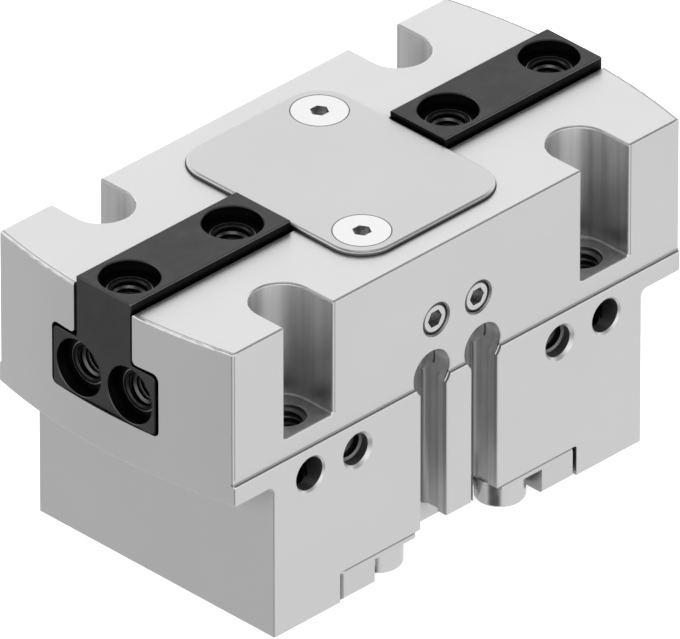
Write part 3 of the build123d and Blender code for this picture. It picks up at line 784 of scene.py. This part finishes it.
def either(tree, choice, first, second):
    """The first shader, or the second where the choice is one."""
    node = tree.nodes.new("ShaderNodeMixShader")
    tree.links.new(choice, node.inputs["Fac"])
    tree.links.new(first, node.inputs[1])
    tree.links.new(second, node.inputs[2])
    return node.outputs["Shader"]


def mirrored_ray(tree, path):
    """One where metal or glass shows what the ray meets, else zero."""
    return combine(tree, "MAXIMUM", path.outputs["Is Glossy Ray"], path.outputs["Is Transmission Ray"])


def floor_material(settings):
    """Pale floor: white to the camera where nothing shades it, and open from below."""
    material, tree, shader, coordinates = new_material("stage_floor")
    specks = noise(tree, coordinates.outputs["Object"], scale=30.0, detail=3.0)
    colour = tint(tree, specks, settings.floor_colour, dark=0.99, light=1.01)
    tree.links.new(colour, shader.inputs["Base Color"])
    shader.inputs["Roughness"].default_value = 1.0
    shader.inputs["Specular IOR Level"].default_value = 0.0
    shader.inputs["Emission Color"].default_value = (*grey(1.0), 1.0)
    path = tree.nodes.new("ShaderNodeLightPath")
    lift = tree.nodes.new("ShaderNodeMath")
    lift.operation = "MULTIPLY"
    lift.inputs[1].default_value = settings.floor_lift
    tree.links.new(path.outputs["Is Camera Ray"], lift.inputs[0])
    tree.links.new(lift.outputs["Value"], shader.inputs["Emission Strength"])
    geometry = tree.nodes.new("ShaderNodeNewGeometry")
    unseen = combine(tree, "MAXIMUM", geometry.outputs["Backfacing"], mirrored_ray(tree, path))
    clear = tree.nodes.new("ShaderNodeBsdfTransparent").outputs["BSDF"]
    output = next(n for n in tree.nodes if n.type == "OUTPUT_MATERIAL")
    tree.links.new(either(tree, unseen, shader.outputs["BSDF"], clear), output.inputs["Surface"])
    return material


def glow(tree, direction, towards, cosines, levels):
    """Part of the studio's light: its level changes smoothly as a direction turns to a point of the room."""
    facing = tree.nodes.new("ShaderNodeVectorMath")
    facing.operation = "DOT_PRODUCT"
    facing.inputs[1].default_value = Vector(towards).normalized()
    tree.links.new(direction, facing.inputs[0])
    return spread(tree, facing.outputs["Value"], *levels, *cosines, curve="SMOOTHSTEP")


def background(tree, level):
    """Neutral light of one level."""
    node = tree.nodes.new("ShaderNodeBackground")
    node.inputs["Color"].default_value = (*grey(level), 1.0)
    return node


def studio_world(settings):
    """Studio room: white to the camera, plain light, and for metal a white room with darker parts."""
    world = bpy.data.worlds.new("studio")
    world.use_nodes = True
    tree = world.node_tree
    tree.nodes.clear()
    direction = tree.nodes.new("ShaderNodeTexCoord").outputs["Generated"]
    level = glow(tree, direction, *WALLS)
    for part in DARK_PARTS:
        level = combine(tree, "MULTIPLY", level, glow(tree, direction, *part))
    path = tree.nodes.new("ShaderNodeLightPath")
    plain = background(tree, settings.sky)
    room = background(tree, settings.sky)
    tree.links.new(level, room.inputs["Strength"])
    white = background(tree, 1.0)
    lit = either(tree, mirrored_ray(tree, path), plain.outputs["Background"], room.outputs["Background"])
    seen = either(tree, path.outputs["Is Camera Ray"], lit, white.outputs["Background"])
    output = tree.nodes.new("ShaderNodeOutputWorld")
    tree.links.new(seen, output.inputs["Surface"])
    return world


def add_floor(scene, settings):
    """Round floor, just below the gripper's feet."""
    build = bmesh.new()
    bmesh.ops.create_circle(build, cap_ends=True, segments=FLOOR_SIDES, radius=settings.floor_radius)
    data = bpy.data.meshes.new("floor")
    build.to_mesh(data)
    build.free()
    data.materials.append(floor_material(settings))
    floor = bpy.data.objects.new("floor", data)
    floor.location.z = -FLOOR_DROP
    floor.visible_shadow = False
    scene.collection.objects.link(floor)


def add_softbox(scene, settings):
    """Round lamp above the gripper, turned to it."""
    lamp = bpy.data.lights.new("softbox", "AREA")
    lamp.shape = "DISK"
    lamp.size = settings.lamp_size
    lamp.energy = settings.lamp_power
    softbox = bpy.data.objects.new("softbox", lamp)
    softbox.location = settings.lamp_place
    softbox.rotation_mode = "QUATERNION"
    softbox.rotation_quaternion = softbox.location.to_track_quat("Z", "Y")
    scene.collection.objects.link(softbox)


def add_camera(scene, settings):
    """Camera with a very long lens, at the photograph's angle."""
    level = math.cos(settings.elevation)
    back = Vector(
        (
            math.sin(settings.azimuth) * level,
            -math.cos(settings.azimuth) * level,
            math.sin(settings.elevation),
        )
    )
    camera = bpy.data.objects.new("camera", bpy.data.cameras.new("camera"))
    camera.data.lens = settings.lens
    camera.data.clip_start, camera.data.clip_end = CAMERA_SIGHT
    camera.location = Vector(settings.aim) + back * settings.distance
    camera.rotation_mode = "QUATERNION"
    camera.rotation_quaternion = back.to_track_quat("Z", "Y")
    scene.collection.objects.link(camera)
    scene.camera = camera


class GRIPPER_OT_stage(bpy.types.Operator):
    """Set up the floor, the softbox, the room's light and the camera"""

    bl_idname = "gripper.stage"
    bl_label = "Stage"

    def execute(self, context):
        scene = context.scene
        settings = scene.gripper_stage
        add_floor(scene, settings)
        add_softbox(scene, settings)
        scene.world = studio_world(settings)
        scene.view_settings.view_transform = "Standard"
        add_camera(scene, settings)
        return {"FINISHED"}


class GRIPPER_PT_sidebar(bpy.types.Panel):
    """Steps that build the gripper's looks"""

    bl_idname = "GRIPPER_PT_sidebar"
    bl_label = "Parallel gripper"
    bl_space_type = "VIEW_3D"
    bl_region_type = "UI"
    bl_category = "Gripper"

    def draw(self, context):
        for step in STEPS:
            self.layout.operator(step.bl_idname)
        for settings in ("gripper_finish", "gripper_threads", "gripper_stage"):
            group = getattr(context.scene, settings)
            column = self.layout.column()
            for name in group.bl_rna.properties.keys():
                if name not in ("rna_type", "name"):
                    column.prop(group, name)


STEPS = (
    GRIPPER_OT_housing,
    GRIPPER_OT_cover,
    GRIPPER_OT_cap,
    GRIPPER_OT_screws,
    GRIPPER_OT_jaws,
    GRIPPER_OT_drive,
    GRIPPER_OT_seals,
    GRIPPER_OT_housing_threads,
    GRIPPER_OT_jaw_threads,
    GRIPPER_OT_stage,
)
CLASSES = (FinishSettings, ThreadSettings, StageSettings, *STEPS, GRIPPER_PT_sidebar)


def register():
    """Registers the settings, the steps and the panel."""
    for each in CLASSES:
        bpy.utils.register_class(each)
    bpy.types.Scene.gripper_finish = PointerProperty(type=FinishSettings)
    bpy.types.Scene.gripper_threads = PointerProperty(type=ThreadSettings)
    bpy.types.Scene.gripper_stage = PointerProperty(type=StageSettings)


def unregister():
    """Takes back what register added."""
    del bpy.types.Scene.gripper_stage
    del bpy.types.Scene.gripper_threads
    del bpy.types.Scene.gripper_finish
    for each in reversed(CLASSES):
        bpy.utils.unregister_class(each)


def main():
    """Builds everything in order."""
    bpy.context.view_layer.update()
    register()
    bpy.ops.gripper.housing()
    bpy.ops.gripper.cover()
    bpy.ops.gripper.cap()
    bpy.ops.gripper.screws()
    bpy.ops.gripper.jaws()
    bpy.ops.gripper.drive()
    bpy.ops.gripper.seals()
    bpy.ops.gripper.housing_threads()
    bpy.ops.gripper.jaw_threads()
    bpy.ops.gripper.stage()


if __name__ == "__main__":
    main()
